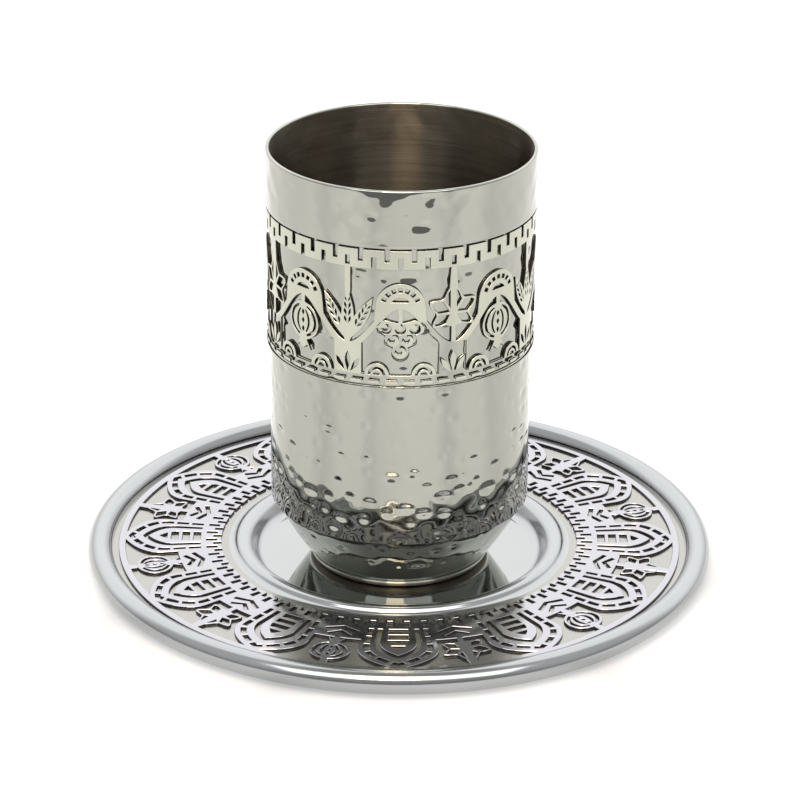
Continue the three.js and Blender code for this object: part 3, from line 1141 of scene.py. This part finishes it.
@dataclass
class Band:
    """The pierced sleeve: cut flat from sheet, then bent round the wall and joined at the back."""

    finish: Steel
    cut: Steel
    sheet_mm: float = 0.5
    chamfer: float = 0.05
    cut_line: float = 0.5
    wall_line: float = 1.5
    waves: int = 8
    notch: Point = (1.0, 2.4)
    stem_width: float = 1.3
    ground: float = 2.7
    hill: Point = (4.7, 2.5)
    sun_radius: float = 5.0
    post: float = 5.8
    dashes: int = 6
    vine_height: float = 13.0
    vine_swing: float = 4.4
    flats: int = 240
    # How far the sun sinks behind the stem, and how far its ring and its disc are inside its edge.
    sun_sink: float = 0.3
    sun_rings: Point = (1.35, 2.9)
    # The rays: how many, the gap between two, and their width.
    sun_rays: tuple[int, float, float] = (7, 0.55, 0.9)
    leaf_height: float = 15.4
    # A sprout at the vine's foot as pairs of length and width, and how its side petals lean away.
    sprout: Point = (4.2, 1.15)
    side_sprout: Point = (3.4, 0.95)
    sprout_lean: Point = (0.6, 33.0)
    # The arcs of a hill: the line inside its edge, and the half disc under it.
    hill_line: float = 1.0
    hill_disc: float = 0.72
    dash_height: float = 1.2
    dash_share: float = 0.3
    gap: float = 0.3
    window_gap: float = 0.55
    bottom: float = field(init=False)
    height: float = field(init=False)
    radius: float = field(init=False)
    pitch: float = field(init=False)

    def __post_init__(self) -> None:
        """Takes the sleeve's place and size from the frame."""
        low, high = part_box("cup_band")
        self.bottom = low[2] / MM
        self.height = (high[2] - low[2]) / MM
        self.radius = high[0] / MM
        self.pitch = 2 * math.pi * self.radius / self.waves

    def vine(self, along: float) -> Point:
        """The stem at a distance along the sleeve: high at the middle of each turn."""
        swing = math.cos(2 * math.pi * along / self.pitch)
        return (along, self.vine_height + self.vine_swing * swing)

    def border(self, first: int) -> Outline:
        """The sheet's edge, with a notch let into its top over every quarter of a turn.

        Args:
            first: Number of the turn at the sheet's left end, counted from the front.

        Returns:
            The closed outline of the flat sheet.
        """
        left = (first - 0.5) * self.pitch
        right = left + self.waves * self.pitch
        width, depth = self.notch
        top = [(right, self.height)]
        step = self.pitch / 4
        for i in reversed(range(self.waves * 4)):
            x = left + (i + 0.5) * step
            sides = ((x + width / 2, 0), (x + width / 2, depth), (x - width / 2, depth), (x - width / 2, 0))
            top += [(sx, self.height - sy) for sx, sy in sides]
        return [(left, 0.0), (right, 0.0), *top, (left, self.height)]

    def stem(self, start: float, end: float, side: int) -> Outline:
        """One edge of the stem.

        Args:
            start: Where along the sleeve it starts.
            end: Where it ends.
            side: 1 for its upper edge and -1 for its lower one.

        Returns:
            The points from start to end.
        """
        edge = []
        for i in range(25):
            x = start + (end - start) * i / 24
            slope = self.vine_swing * 2 * math.pi / self.pitch * math.sin(2 * math.pi * x / self.pitch)
            edge.append((x, self.vine(x)[1] + side * self.stem_width / 2 * math.hypot(1, slope)))
        return edge

    def sky(self, left: Outline, right: Outline) -> Outline:
        """The window over the stem's crest, between two plants, with notches let into its top.

        Args:
            left: Right side of the plant on the left, from its top down, round its own middle.
            right: Right side of the plant on the right.

        Returns:
            The window's outline, round the middle of the turn.
        """
        half, step = self.pitch / 2, self.pitch / 4
        width, depth = self.notch
        roof, tooth = self.height - depth - self.wall_line, self.height - self.wall_line
        top = []
        for x in (step, 0.0, -step):
            far, near = x + width / 2, x - width / 2
            top += [(far, roof), (far, tooth), (near, tooth), (near, roof)]
        placed = moved(left, -half, 0)
        facing = moved(mirrored(right), half, 0)
        sun = arc(self.sun, self.sun_radius, 180, 0, 24)
        meet = sun[0][0] - self.gap
        rise, sink = self.stem(placed[-1][0], meet, 1), self.stem(-facing[0][0], meet, 1)
        return [*placed, *rise, *sun, *mirrored(sink), *facing, *top]

    @property
    def sun(self) -> Point:
        """The middle of the sun that rises behind each crest of the stem."""
        return (0.0, self.vine_height + self.vine_swing - self.sun_sink)

    def rays(self) -> list[Outline]:
        """The cuts of the sun.

        Returns:
            A broken ring round a half disc that stands on the stem.
        """
        outer, inner = self.sun_rings
        ring = arc(self.sun, self.sun_radius - outer, 160, 20, 24)
        disc = arc(self.sun, self.sun_radius - inner, 148, 32, 12)
        return [*pieces_of(ring, *self.sun_rays), disc]

    def hills(self, grow: float) -> list[Outline]:
        """The two round hills of a turn, as arcs from left to right, grown by some millimetres."""
        x, radius = self.hill
        return [arc((side * x, self.ground), radius + grow, 180, 0, 14) for side in (-1, 1)]

    def under(self, fruit: Outline) -> Outline:
        """The window under the stem's crest, round a hanging fruit and over the hills.

        Args:
            fruit: Right side of the fruit from its stalk down, round its own middle.

        Returns:
            The window's outline, round the middle of the turn.
        """
        edge = self.pitch / 2 - self.post / 2
        hung = moved(fruit, 0, self.vine_height + self.vine_swing - self.stem_width / 2)
        stalk = hung[0][0]
        land = [(-edge, self.ground), *self.hills(0.0)[0], *self.hills(0.0)[1], (edge, self.ground)]
        return [
            *hung,
            *mirrored(hung),
            *self.stem(-stalk, -edge, -1)[1:],
            *land,
            *self.stem(edge, stalk, -1)[:-1],
        ]

    def turn(self, odd: bool) -> list[Outline]:
        """Every hole over one turn of the vine, round the middle of that turn.

        Args:
            odd: Whether it carries pomegranate and wheat, or grapes and a leaf.

        Returns:
            The holes. Those that stand over the turn's right end reach past it.
        """
        half = self.pitch / 2
        hang = self.vine_height + self.vine_swing - self.stem_width / 2
        stand = self.vine_height - self.vine_swing + self.stem_width / 2
        roof = self.height - self.notch[1] - self.wall_line
        fruit = Pomegranate() if odd else Grapes()
        leaf_at = self.leaf_height
        leaf = moved(VineLeaf().contour(roof - leaf_at, stand - leaf_at), 0, leaf_at)
        wheat = moved(Wheat().contour(roof - stand, 0.0), 0, stand)
        sides = (leaf, wheat) if odd else (wheat, leaf)
        holes = [self.sky(*sides), self.under(fruit.contour()), *self.rays()]
        holes += [moved(cut, 0, hang) for cut in fruit.cuts()]
        if odd:
            holes += [moved(cut, half, stand) for cut in Wheat().cuts()]
        else:
            holes += [moved(cut, half, leaf_at) for cut in VineLeaf().cuts()]
        for hill in self.hills(-self.hill_line):
            holes.append(stroke(hill, self.cut_line))
            middle = (hill[0][0] + hill[-1][0]) / 2
            holes.append(arc((middle, self.ground), self.hill_disc, 0, 180, 8))
        foot = self.ground + self.gap
        holes.append(moved(petal(*self.sprout), half, foot))
        aside, lean = self.sprout_lean
        for side in (-1, 1):
            holes.append(moved(petal(*self.side_sprout), half + side * aside, foot, -side * lean))
        dash, y = self.pitch / self.dashes, self.dash_height
        for i in range(self.dashes):
            x, reach = (i - (self.dashes - 1) / 2) * dash, dash * self.dash_share
            holes.append(stroke([(x - reach, y), (x + reach, y)], self.cut_line))
        width, line = self.notch[0], self.wall_line
        low, high = roof + self.window_gap, self.height - line
        near, far = half - width / 2, half + width / 2
        holes.append([(near, low), (far, low), (far, high), (near, high)])
        return holes

    def outlines(self) -> list[Outline]:
        """The border and every hole, with the joint at the back running up the midrib of a leaf.

        Returns:
            The outlines of the whole flat sheet, the border first.
        """
        first = -self.waves // 2 + 1
        left = (first - 0.5) * self.pitch
        girth = self.waves * self.pitch
        outlines = [self.border(first)]
        for turn in range(first, first + self.waves):
            for hole in self.turn(turn % 2 == 1):
                placed = moved(hole, turn * self.pitch, 0)
                xs = [x for x, _ in placed]
                if min(xs) > left + girth:
                    placed = moved(placed, -girth, 0)
                elif max(xs) > left + girth - 0.2:
                    continue
                outlines.append(placed)
        return outlines

    def bend(self, piece: bpy.types.Object) -> None:
        """Cuts the flat sheet into narrow strips, rolls it round the wall and closes its joint.

        Args:
            piece: The flat sheet.
        """
        girth = 2 * math.pi * self.radius
        points = coordinates(piece)
        left, right = points[:, 0].min(), points[:, 0].max()
        for end in (left, right):
            close = np.abs(points[:, 0] - end) < self.chamfer * 1.5
            points[close, 0] = end
        place(piece, points)
        only(piece)
        bpy.ops.object.mode_set(mode="EDIT")
        for i in range(1, self.flats):
            x = left + (right - left) * i / self.flats
            bpy.ops.mesh.select_all(action="SELECT")
            bpy.ops.mesh.bisect(plane_co=(x * MM, 0, 0), plane_no=(1, 0, 0), use_fill=False)
        bpy.ops.object.mode_set(mode="OBJECT")
        points = coordinates(piece)
        on_end = (np.abs(points[:, 0] - left) < 0.01) | (np.abs(points[:, 0] - right) < 0.01)
        for face in piece.data.polygons:
            face.select = all(on_end[v] for v in face.vertices)
        only(piece)
        bpy.ops.object.mode_set(mode="EDIT")
        bpy.ops.mesh.select_mode(type="FACE")
        bpy.ops.mesh.delete(type="FACE")
        bpy.ops.object.mode_set(mode="OBJECT")
        points = coordinates(piece)
        angle = points[:, 0] / (right - left) * 2 * math.pi
        radius = self.radius - self.sheet_mm / 2 + points[:, 2]
        height = self.bottom + points[:, 1]
        place(piece, np.stack([radius * np.sin(angle), -radius * np.cos(angle), height], axis=1))
        only(piece)
        bpy.ops.object.mode_set(mode="EDIT")
        bpy.ops.mesh.select_all(action="SELECT")
        bpy.ops.mesh.remove_doubles(threshold=2 * MERGE)
        bpy.ops.mesh.select_all(action="SELECT")
        bpy.ops.mesh.normals_make_consistent(inside=False)
        bpy.ops.object.mode_set(mode="OBJECT")
        LOG.info("sleeve bent to %.1f mm round", girth)

    def build(self) -> bpy.types.Object:
        """Cuts, bends and dresses the sleeve.

        Returns:
            The finished sleeve.
        """
        piece = sheet("cup_sleeve_pierced", self.outlines(), self.sheet_mm, self.chamfer)
        self.bend(piece)
        smooth(piece, 20)
        piece.data.materials.append(self.finish.build())
        piece.data.materials.append(self.cut.build())
        for face in piece.data.polygons:
            outwards = Vector((face.center.x, face.center.y, 0)).normalized()
            foot = face.normal.z < -0.5 and face.center.z < (self.bottom + self.chamfer) * MM
            face.material_index = 0 if foot or abs(face.normal.dot(outwards)) > 0.5 else 1
        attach(piece, "root")
        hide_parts("cup_band")
        return piece


@dataclass
class Ring:
    """The pierced ring that lies on the saucer's brim."""

    finish: Steel
    cut: Steel
    chamfer: float = 0.06
    line: float = 1.1
    ribbon: float = 0.9
    bar: float = 0.75
    parts: int = 12
    teeth: int = 72
    tooth: Point = (1.05, 1.7)
    slot: tuple[float, float, float] = (1.0, 0.95, 3.2)
    arches: tuple[Point, Point] = ((12.4, 14.6), (8.3, 11.6))
    door_size: Point = (4.3, 8.6)
    panes: int = 4
    arch_foot: float = 4.4
    plant_foot: float = 9.3
    border: float = 1.4
    inner: float = 37.3
    # How an arch closes: the share of its height at which it springs, and how pointed it is.
    spring: float = 0.5
    point: float = 2.1
    dashes: int = 11
    gap: float = 0.75
    least_pane: float = 0.12
    # How much less the opening beside an arch grows upwards than sideways.
    crown_share: float = 0.62
    leaf_drop: float = 6.6
    # The chevrons at the foot of a plant: their half widths, rise and distance apart.
    chevrons: Point = (3.7, 2.4)
    chevron_rise: float = 1.6
    chevron_step: float = 1.9
    chevron_foot: float = 0.3
    outer: float = field(init=False)
    bottom: float = field(init=False)
    sheet_mm: float = field(init=False)

    def __post_init__(self) -> None:
        """Takes the ring's place and size from the frame."""
        low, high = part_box("saucer_ring")
        self.outer = high[0] / MM
        self.bottom = low[2] / MM
        self.sheet_mm = (high[2] - low[2]) / MM

    @property
    def middle(self) -> float:
        """The radius half-way across the ring."""
        return (self.inner + self.outer) / 2

    @property
    def pitch(self) -> float:
        """One part's length along the middle of the ring."""
        return 2 * math.pi * self.middle / self.parts

    def lean(self, y: float, width: float, height: float) -> float:
        """Half the width of a pointed arch at one level.

        Args:
            y: The level, from the ring's inner edge.
            width: Of the arch at its feet.
            height: Of the arch.

        Returns:
            The half width: all of it below the spring, and nothing at the point.
        """
        spring = self.arch_foot + height * self.spring
        share = max(0.0, (y - spring) / (height * self.spring))
        return width / 2 * (1 - min(share, 1.0) ** self.point)

    def arch(self, width: float, height: float) -> Outline:
        """The middle line of a pointed arch, its feet towards the well.

        Args:
            width: Of the arch at its feet.
            height: Of the arch.

        Returns:
            The points from its left foot over its point to its right foot.
        """
        ys = [self.arch_foot + height * i / 24 for i in range(25)]
        right = [(self.lean(y, width, height), y) for y in ys]
        return [(-x, y) for x, y in right] + right[::-1][1:]

    def door(self) -> list[Outline]:
        """The small window under the inner arch.

        Returns:
            Its panes, from the lowest up.
        """
        width, height = self.door_size
        pane = (height + self.bar) / self.panes
        outlines = []
        for i in range(self.panes):
            low = self.arch_foot + i * pane
            ys = [low + (pane - self.bar) * k / 5 for k in range(6)]
            side = [(max(self.lean(y, width, height), self.least_pane), y) for y in ys]
            outlines.append(side + mirrored(side))
        return outlines

    def spandrel(self, plant: Outline) -> list[Outline]:
        """The two windows between neighbouring arches, left and right of a plant.

        Args:
            plant: The plant's right side from the border down, round x = 0.

        Returns:
            Both windows, round the middle of the part.
        """
        half, (width, height) = self.pitch / 2, self.arches[0]
        spread = self.line + 2 * self.ribbon
        width, height = width + spread, height + spread * self.crown_share
        top, bottom = plant[0][1], plant[-1][1]
        ys = [bottom + (top - bottom) * i / 16 for i in range(17)]
        frame_side = [(self.pitch - self.lean(y, width, height), y) for y in ys]
        top_edge = rows(frame_side[-1], (half + plant[0][0], top), 1.5)[1:-1]
        foot_edge = rows((half + plant[-1][0], bottom), frame_side[0], 1.5)[1:-1]
        right = [*moved(plant, half, 0), *foot_edge, *frame_side, *top_edge]
        return [right, mirrored(right, half)]

    def part(self, odd: bool) -> list[Outline]:
        """Every hole over one part of the ring.

        Args:
            odd: Whether a pomegranate stands at the part's right end, or a leaf.

        Returns:
            The holes, with y from the ring's inner edge outwards.
        """
        half, top = self.pitch / 2, self.outer - self.inner - self.border
        (wide, tall), (narrow, low) = self.arches
        holes = pieces_of(self.arch(wide, tall), self.dashes, self.gap, self.line)
        holes += pieces_of(self.arch(narrow, low), 1, 0.0, self.line)
        holes += self.door()
        if odd:
            fruit = Pomegranate(radius=3.1, line=0.75, margin=0.6, drop=1.5, stalk=1.3)
            plant = moved(fruit.contour(self.plant_foot - top), 0, top)
            cuts = [moved(cut, half, top) for cut in fruit.cuts()]
        else:
            leaf = VineLeaf(size=4.5, vein=0.8, rib=0.42, bar=1.4)
            leaf_at = top - self.leaf_drop
            plant = moved(leaf.contour(top - leaf_at, self.plant_foot - leaf_at), 0, leaf_at)
            cuts = [moved(cut, half, leaf_at) for cut in leaf.cuts()]
        for i, reach in enumerate(self.chevrons):
            y, rise = self.arch_foot + self.chevron_foot + self.chevron_step * i, self.chevron_rise
            chevron = [(half - reach, y + rise), (half - reach / 2, y + rise / 2), (half, y)]
            holes.append(stroke(chevron + mirrored(chevron[:-1], half), self.line * 0.85))
        return [*holes, *self.spandrel(plant), *cuts]

    def round_axis(self, outline: Outline) -> Outline:
        """Bends an outline round the saucer's axis.

        Args:
            outline: Points along the ring and outwards from its inner edge.

        Returns:
            The points as seen from above, with x = 0 at the front.
        """
        bent = []
        for x, y in outline:
            angle, radius = x / self.middle, self.inner + y
            bent.append((radius * math.sin(angle), -radius * math.cos(angle)))
        return bent

    def outlines(self) -> list[Outline]:
        """The round border, the inner edge with its two rows of notches, and every hole.

        Returns:
            The outlines of the whole flat ring.
        """
        outlines = [arc((0, 0), self.outer, 0, 359, 359)]
        pitch = 2 * math.pi * self.middle / self.teeth
        scale = self.middle / self.inner
        (width, depth), (slot, low, high) = self.tooth, self.slot
        edge = []
        for i in range(self.teeth):
            x, reach = i * pitch, width / 2 * scale
            edge += [(x - reach, 0.0), (x - reach, depth), (x + reach, depth), (x + reach, 0.0)]
            edge.append((x + pitch / 2, 0.0))
            x, reach = x + pitch / 2, slot / 2 * scale
            outlines.append(
                self.round_axis([(x - reach, low), (x + reach, low), (x + reach, high), (x - reach, high)])
            )
        outlines.append(self.round_axis(edge))
        for i in range(self.parts):
            for hole in self.part(i % 2 == 1):
                outlines.append(self.round_axis(moved(hole, i * self.pitch, 0)))
        return outlines

    def build(self) -> bpy.types.Object:
        """Cuts and dresses the ring.

        Returns:
            The finished ring.
        """
        piece = sheet("saucer_ring_pierced", self.outlines(), self.sheet_mm, self.chamfer)
        points = coordinates(piece)
        points[:, 2] += self.bottom + self.sheet_mm / 2
        place(piece, points)
        smooth(piece, 20)
        piece.data.materials.append(self.finish.build())
        piece.data.materials.append(self.cut.build())
        for face in piece.data.polygons:
            face.material_index = 0 if abs(face.normal.z) > 0.5 else 1
        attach(piece, "root")
        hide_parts("saucer_ring")
        return piece


# ---- The studio ----------------------------------------------------------------------------------
@dataclass(frozen=True)
class Lamp:
    """A soft rectangular lamp that faces the cup, given by where it stands round it."""

    name: str
    azimuth: float
    height: float
    away: float
    size: Point
    radiance: float
    shows_in_steel: bool = True
    tint: str = "FFFFFF"

    def hang(self, aim: float) -> None:
        """Hangs the lamp.

        Args:
            aim: Height in millimetres of the point that it faces.
        """
        data = bpy.data.lights.new(self.name, "AREA")
        data.shape = "RECTANGLE"
        data.size, data.size_y = self.size[0] * MM, self.size[1] * MM
        data.energy = self.radiance * math.pi * data.size * data.size_y
        data.color = linear(self.tint)[:3]
        lamp = bpy.data.objects.new(self.name, data)
        bpy.context.collection.objects.link(lamp)
        turn, rise = math.radians(self.azimuth), math.radians(self.height)
        flat = self.away * math.cos(rise)
        middle = Vector((0, 0, aim))
        spot = middle + Vector((flat * math.sin(turn), -flat * math.cos(turn), self.away * math.sin(rise)))
        lamp.location = spot * MM
        lamp.rotation_euler = (middle - spot).to_track_quat("-Z", "Y").to_euler()
        lamp.visible_glossy = self.shows_in_steel


@dataclass
class Studio:
    """A pale glowing table in a studio, with the camera a little above the cup.

    Azimuths are in degrees from the front, positive to the right; heights are in degrees.
    """

    elevation: float = 23.72
    distance: float = 674.7
    aim: float = 35.2
    lens: float = 147.16
    roll: float = 0.37
    table_width: float = 5000.0
    table_front: float = 300.0
    # Painted shade: the table's tone by azimuth round the cup, for its glow and its colour. The dips paint
    # shadow stripes on the table that the steel mirrors; the camera sees the table white.
    painted_table_shade_tones: tuple[Point, ...] = (
        (-180, 1.25),
        (-95, 0.96),
        (-76, 1.0),
        (-62, 0.84),
        (-46, 1.0),
        (-30, 1.0),
        (-22, 0.86),
        (-14, 0.96),
        (8, 1.04),
        (28, 1.02),
        (38, 0.84),
        (50, 1.0),
        (66, 1.0),
        (78, 0.86),
        (92, 0.93),
        (180, 1.25),
    )
    wall_tones: tuple[Point, ...] = (
        (0, 1.75),
        (55, 1.7),
        (80, 0.8),
        (125, 0.74),
        (150, 0.5),
        (180, 0.5),
    )
    wall_rise: Point = (0.5, 24.0)
    # Painted light: where the table's painted glow dims towards the front and how far, and its strength.
    painted_glow_fall: tuple[Point, Point] = ((180.0, 1.0), (212.0, 0.74))
    painted_table_glow: float = 0.5
    table_white: float = 0.42
    wall_top: float = 66.0
    ceiling: float = 0.48
    ceiling_blend: float = 8.0
    lamps: tuple[Lamp, ...] = (
        Lamp("front_softbox", 0, 52, 1100, (1500, 650), 2.4),
        Lamp("softbox_middle", -5, 52, 1080, (340, 620), 6.4, tint="FFE4C0"),
        Lamp("table_light", 0, 90, 2200, (2000, 2000), 1.6, shows_in_steel=False),
    )

    def camera(self) -> None:
        """Sets up the camera in front of the cup, looking down at it."""
        data = bpy.data.cameras.new("camera")
        data.lens = self.lens
        data.sensor_width = 36.0
        data.clip_end = 20.0
        camera = bpy.data.objects.new("camera", data)
        bpy.context.collection.objects.link(camera)
        tilt = math.radians(self.elevation)
        away = self.distance * MM
        camera.location = (0, -away * math.cos(tilt), self.aim * MM + away * math.sin(tilt))
        turn = Matrix.Rotation(math.radians(90 - self.elevation), 4, "X")
        camera.rotation_euler = (turn @ Matrix.Rotation(math.radians(self.roll), 4, "Z")).to_euler()
        bpy.context.scene.camera = camera

    def table(self) -> None:
        """Lays a plain pale table top under the saucer. It has a painted glow: it shines with no lamp under
        it, which lifts its contact shadows, and the glow dims towards the front.
        """
        bpy.ops.object.select_all(action="DESELECT")
        bpy.ops.mesh.primitive_plane_add(size=self.table_width * MM, location=(0, 0, 0))
        floor = bpy.context.object
        floor.name = "table_top"
        edge = coordinates(floor)
        edge[edge[:, 1] < 0, 1] = -self.table_front
        place(floor, edge)
        material = bpy.data.materials.new("white_table_painted_glow")
        tree = empty_tree(material)
        spot = add_node(tree, "ShaderNodeTexCoord").outputs["Object"]
        split = add_node(tree, "ShaderNodeSeparateXYZ", {}, {"Vector": spot})
        front = add_node(tree, "ShaderNodeMath", {"operation": "MULTIPLY", 1: -1.0}, {0: split.outputs["Y"]})
        azimuth = add_node(
            tree,
            "ShaderNodeMath",
            {"operation": "ARCTAN2"},
            {0: split.outputs["X"], 1: front.outputs["Value"]},
        )
        share = add_node(
            tree,
            "ShaderNodeMapRange",
            {"From Min": -math.pi, "From Max": math.pi},
            {"Value": azimuth.outputs["Value"]},
        )
        # Painted shade: the table's tones by azimuth, with dips for shadow stripes.
        stops = [((angle + 180) / 360, tone) for angle, tone in self.painted_table_shade_tones]
        along = {"Fac": share.outputs["Result"]}
        ramp = add_node(tree, "ShaderNodeValToRGB", {}, along, stops)
        (near, full), (far, less) = self.painted_glow_fall
        fall = add_node(
            tree,
            "ShaderNodeMapRange",
            {
                "From Min": near * MM,
                "From Max": far * MM,
                "To Min": full * self.painted_table_glow,
                "To Max": less * self.painted_table_glow,
            },
            {"Value": front.outputs["Value"]},
        )
        # Painted light: the table glows though no lamp lights it.
        glow = add_node(
            tree,
            "ShaderNodeEmission",
            {},
            {"Color": ramp.outputs["Color"], "Strength": fall.outputs["Result"]},
        )
        greys = [(at, tone * self.table_white) for at, tone in stops]
        matt = add_node(tree, "ShaderNodeValToRGB", {}, along, greys)
        skin = add_node(tree, "ShaderNodeBsdfDiffuse", {"Roughness": 0.3}, {"Color": matt.outputs["Color"]})
        parts = {0: glow.outputs["Emission"], 1: skin.outputs["BSDF"]}
        both = add_node(tree, "ShaderNodeAddShader", {}, parts)
        add_node(tree, "ShaderNodeOutputMaterial", {}, {"Surface": both.outputs["Shader"]})
        floor.data.materials.append(material)

    def walls(self) -> None:
        """Stands a white sweep behind the cup, with dimmer walls beside it and a grey ceiling."""
        world = bpy.data.worlds.new("studio_walls")
        bpy.context.scene.world = world
        tree = empty_tree(world)
        towards = add_node(tree, "ShaderNodeTexCoord").outputs["Generated"]
        split = add_node(tree, "ShaderNodeSeparateXYZ", {}, {"Vector": towards})
        sine = add_node(tree, "ShaderNodeMath", {"operation": "ARCSINE"}, {0: split.outputs["Z"]})
        height = sine.outputs["Value"]
        azimuth = add_node(
            tree,
            "ShaderNodeMath",
            {"operation": "ARCTAN2"},
            {0: split.outputs["X"], 1: split.outputs["Y"]},
        )
        aside = add_node(tree, "ShaderNodeMath", {"operation": "ABSOLUTE"}, {0: azimuth.outputs["Value"]})
        share = add_node(
            tree,
            "ShaderNodeMapRange",
            {"From Min": 0.0, "From Max": math.pi},
            {"Value": aside.outputs["Value"]},
        )
        stops = [(angle / 180, tone) for angle, tone in self.wall_tones]
        wall = add_node(tree, "ShaderNodeValToRGB", {}, {"Fac": share.outputs["Result"]}, stops)
        low, high = self.wall_rise
        rise = add_node(
            tree,
            "ShaderNodeMapRange",
            {"From Min": 0.0, "From Max": math.radians(high), "To Min": low, "To Max": 1.0},
            {"Value": height},
        )
        lit = add_node(
            tree,
            "ShaderNodeBackground",
            {},
            {"Color": wall.outputs["Color"], "Strength": rise.outputs["Result"]},
        )
        above = add_node(
            tree,
            "ShaderNodeMapRange",
            {
                "From Min": math.radians(self.wall_top),
                "From Max": math.radians(self.wall_top + self.ceiling_blend),
            },
            {"Value": height},
        )
        white = {"Color": linear("FFFEFA"), "Strength": self.ceiling}
        ceiling = add_node(tree, "ShaderNodeBackground", white)
        mixed = add_node(
            tree,
            "ShaderNodeMixShader",
            {},
            {0: above.outputs["Result"], 1: lit.outputs["Background"], 2: ceiling.outputs["Background"]},
        )
        add_node(tree, "ShaderNodeOutputWorld", {}, {"Surface": mixed.outputs["Shader"]})

    def build(self) -> None:
        """Sets up camera, table and light, with plain colour handling."""
        self.camera()
        self.table()
        self.walls()
        for lamp in self.lamps:
            lamp.hang(self.aim)
        bpy.context.scene.view_settings.view_transform = "Standard"


def main() -> None:
    """Builds every piece in order and reports it."""
    logging.basicConfig(level=logging.INFO, format="%(message)s")
    finishes = Finishes()
    Studio().build()
    makers = [
        Saucer(finishes.spun, finishes.buffed, finishes.brim_with_painted_shade),
        Ring(finishes.ring, finishes.cut),
        CupBody(finishes.hammered, finishes.turned),
        Band(finishes.sleeve, finishes.cut),
    ]
    for maker in makers:
        piece = maker.build()
        LOG.info("%s: %d faces", piece.name, len(piece.data.polygons))


if __name__ == "__main__":
    main()
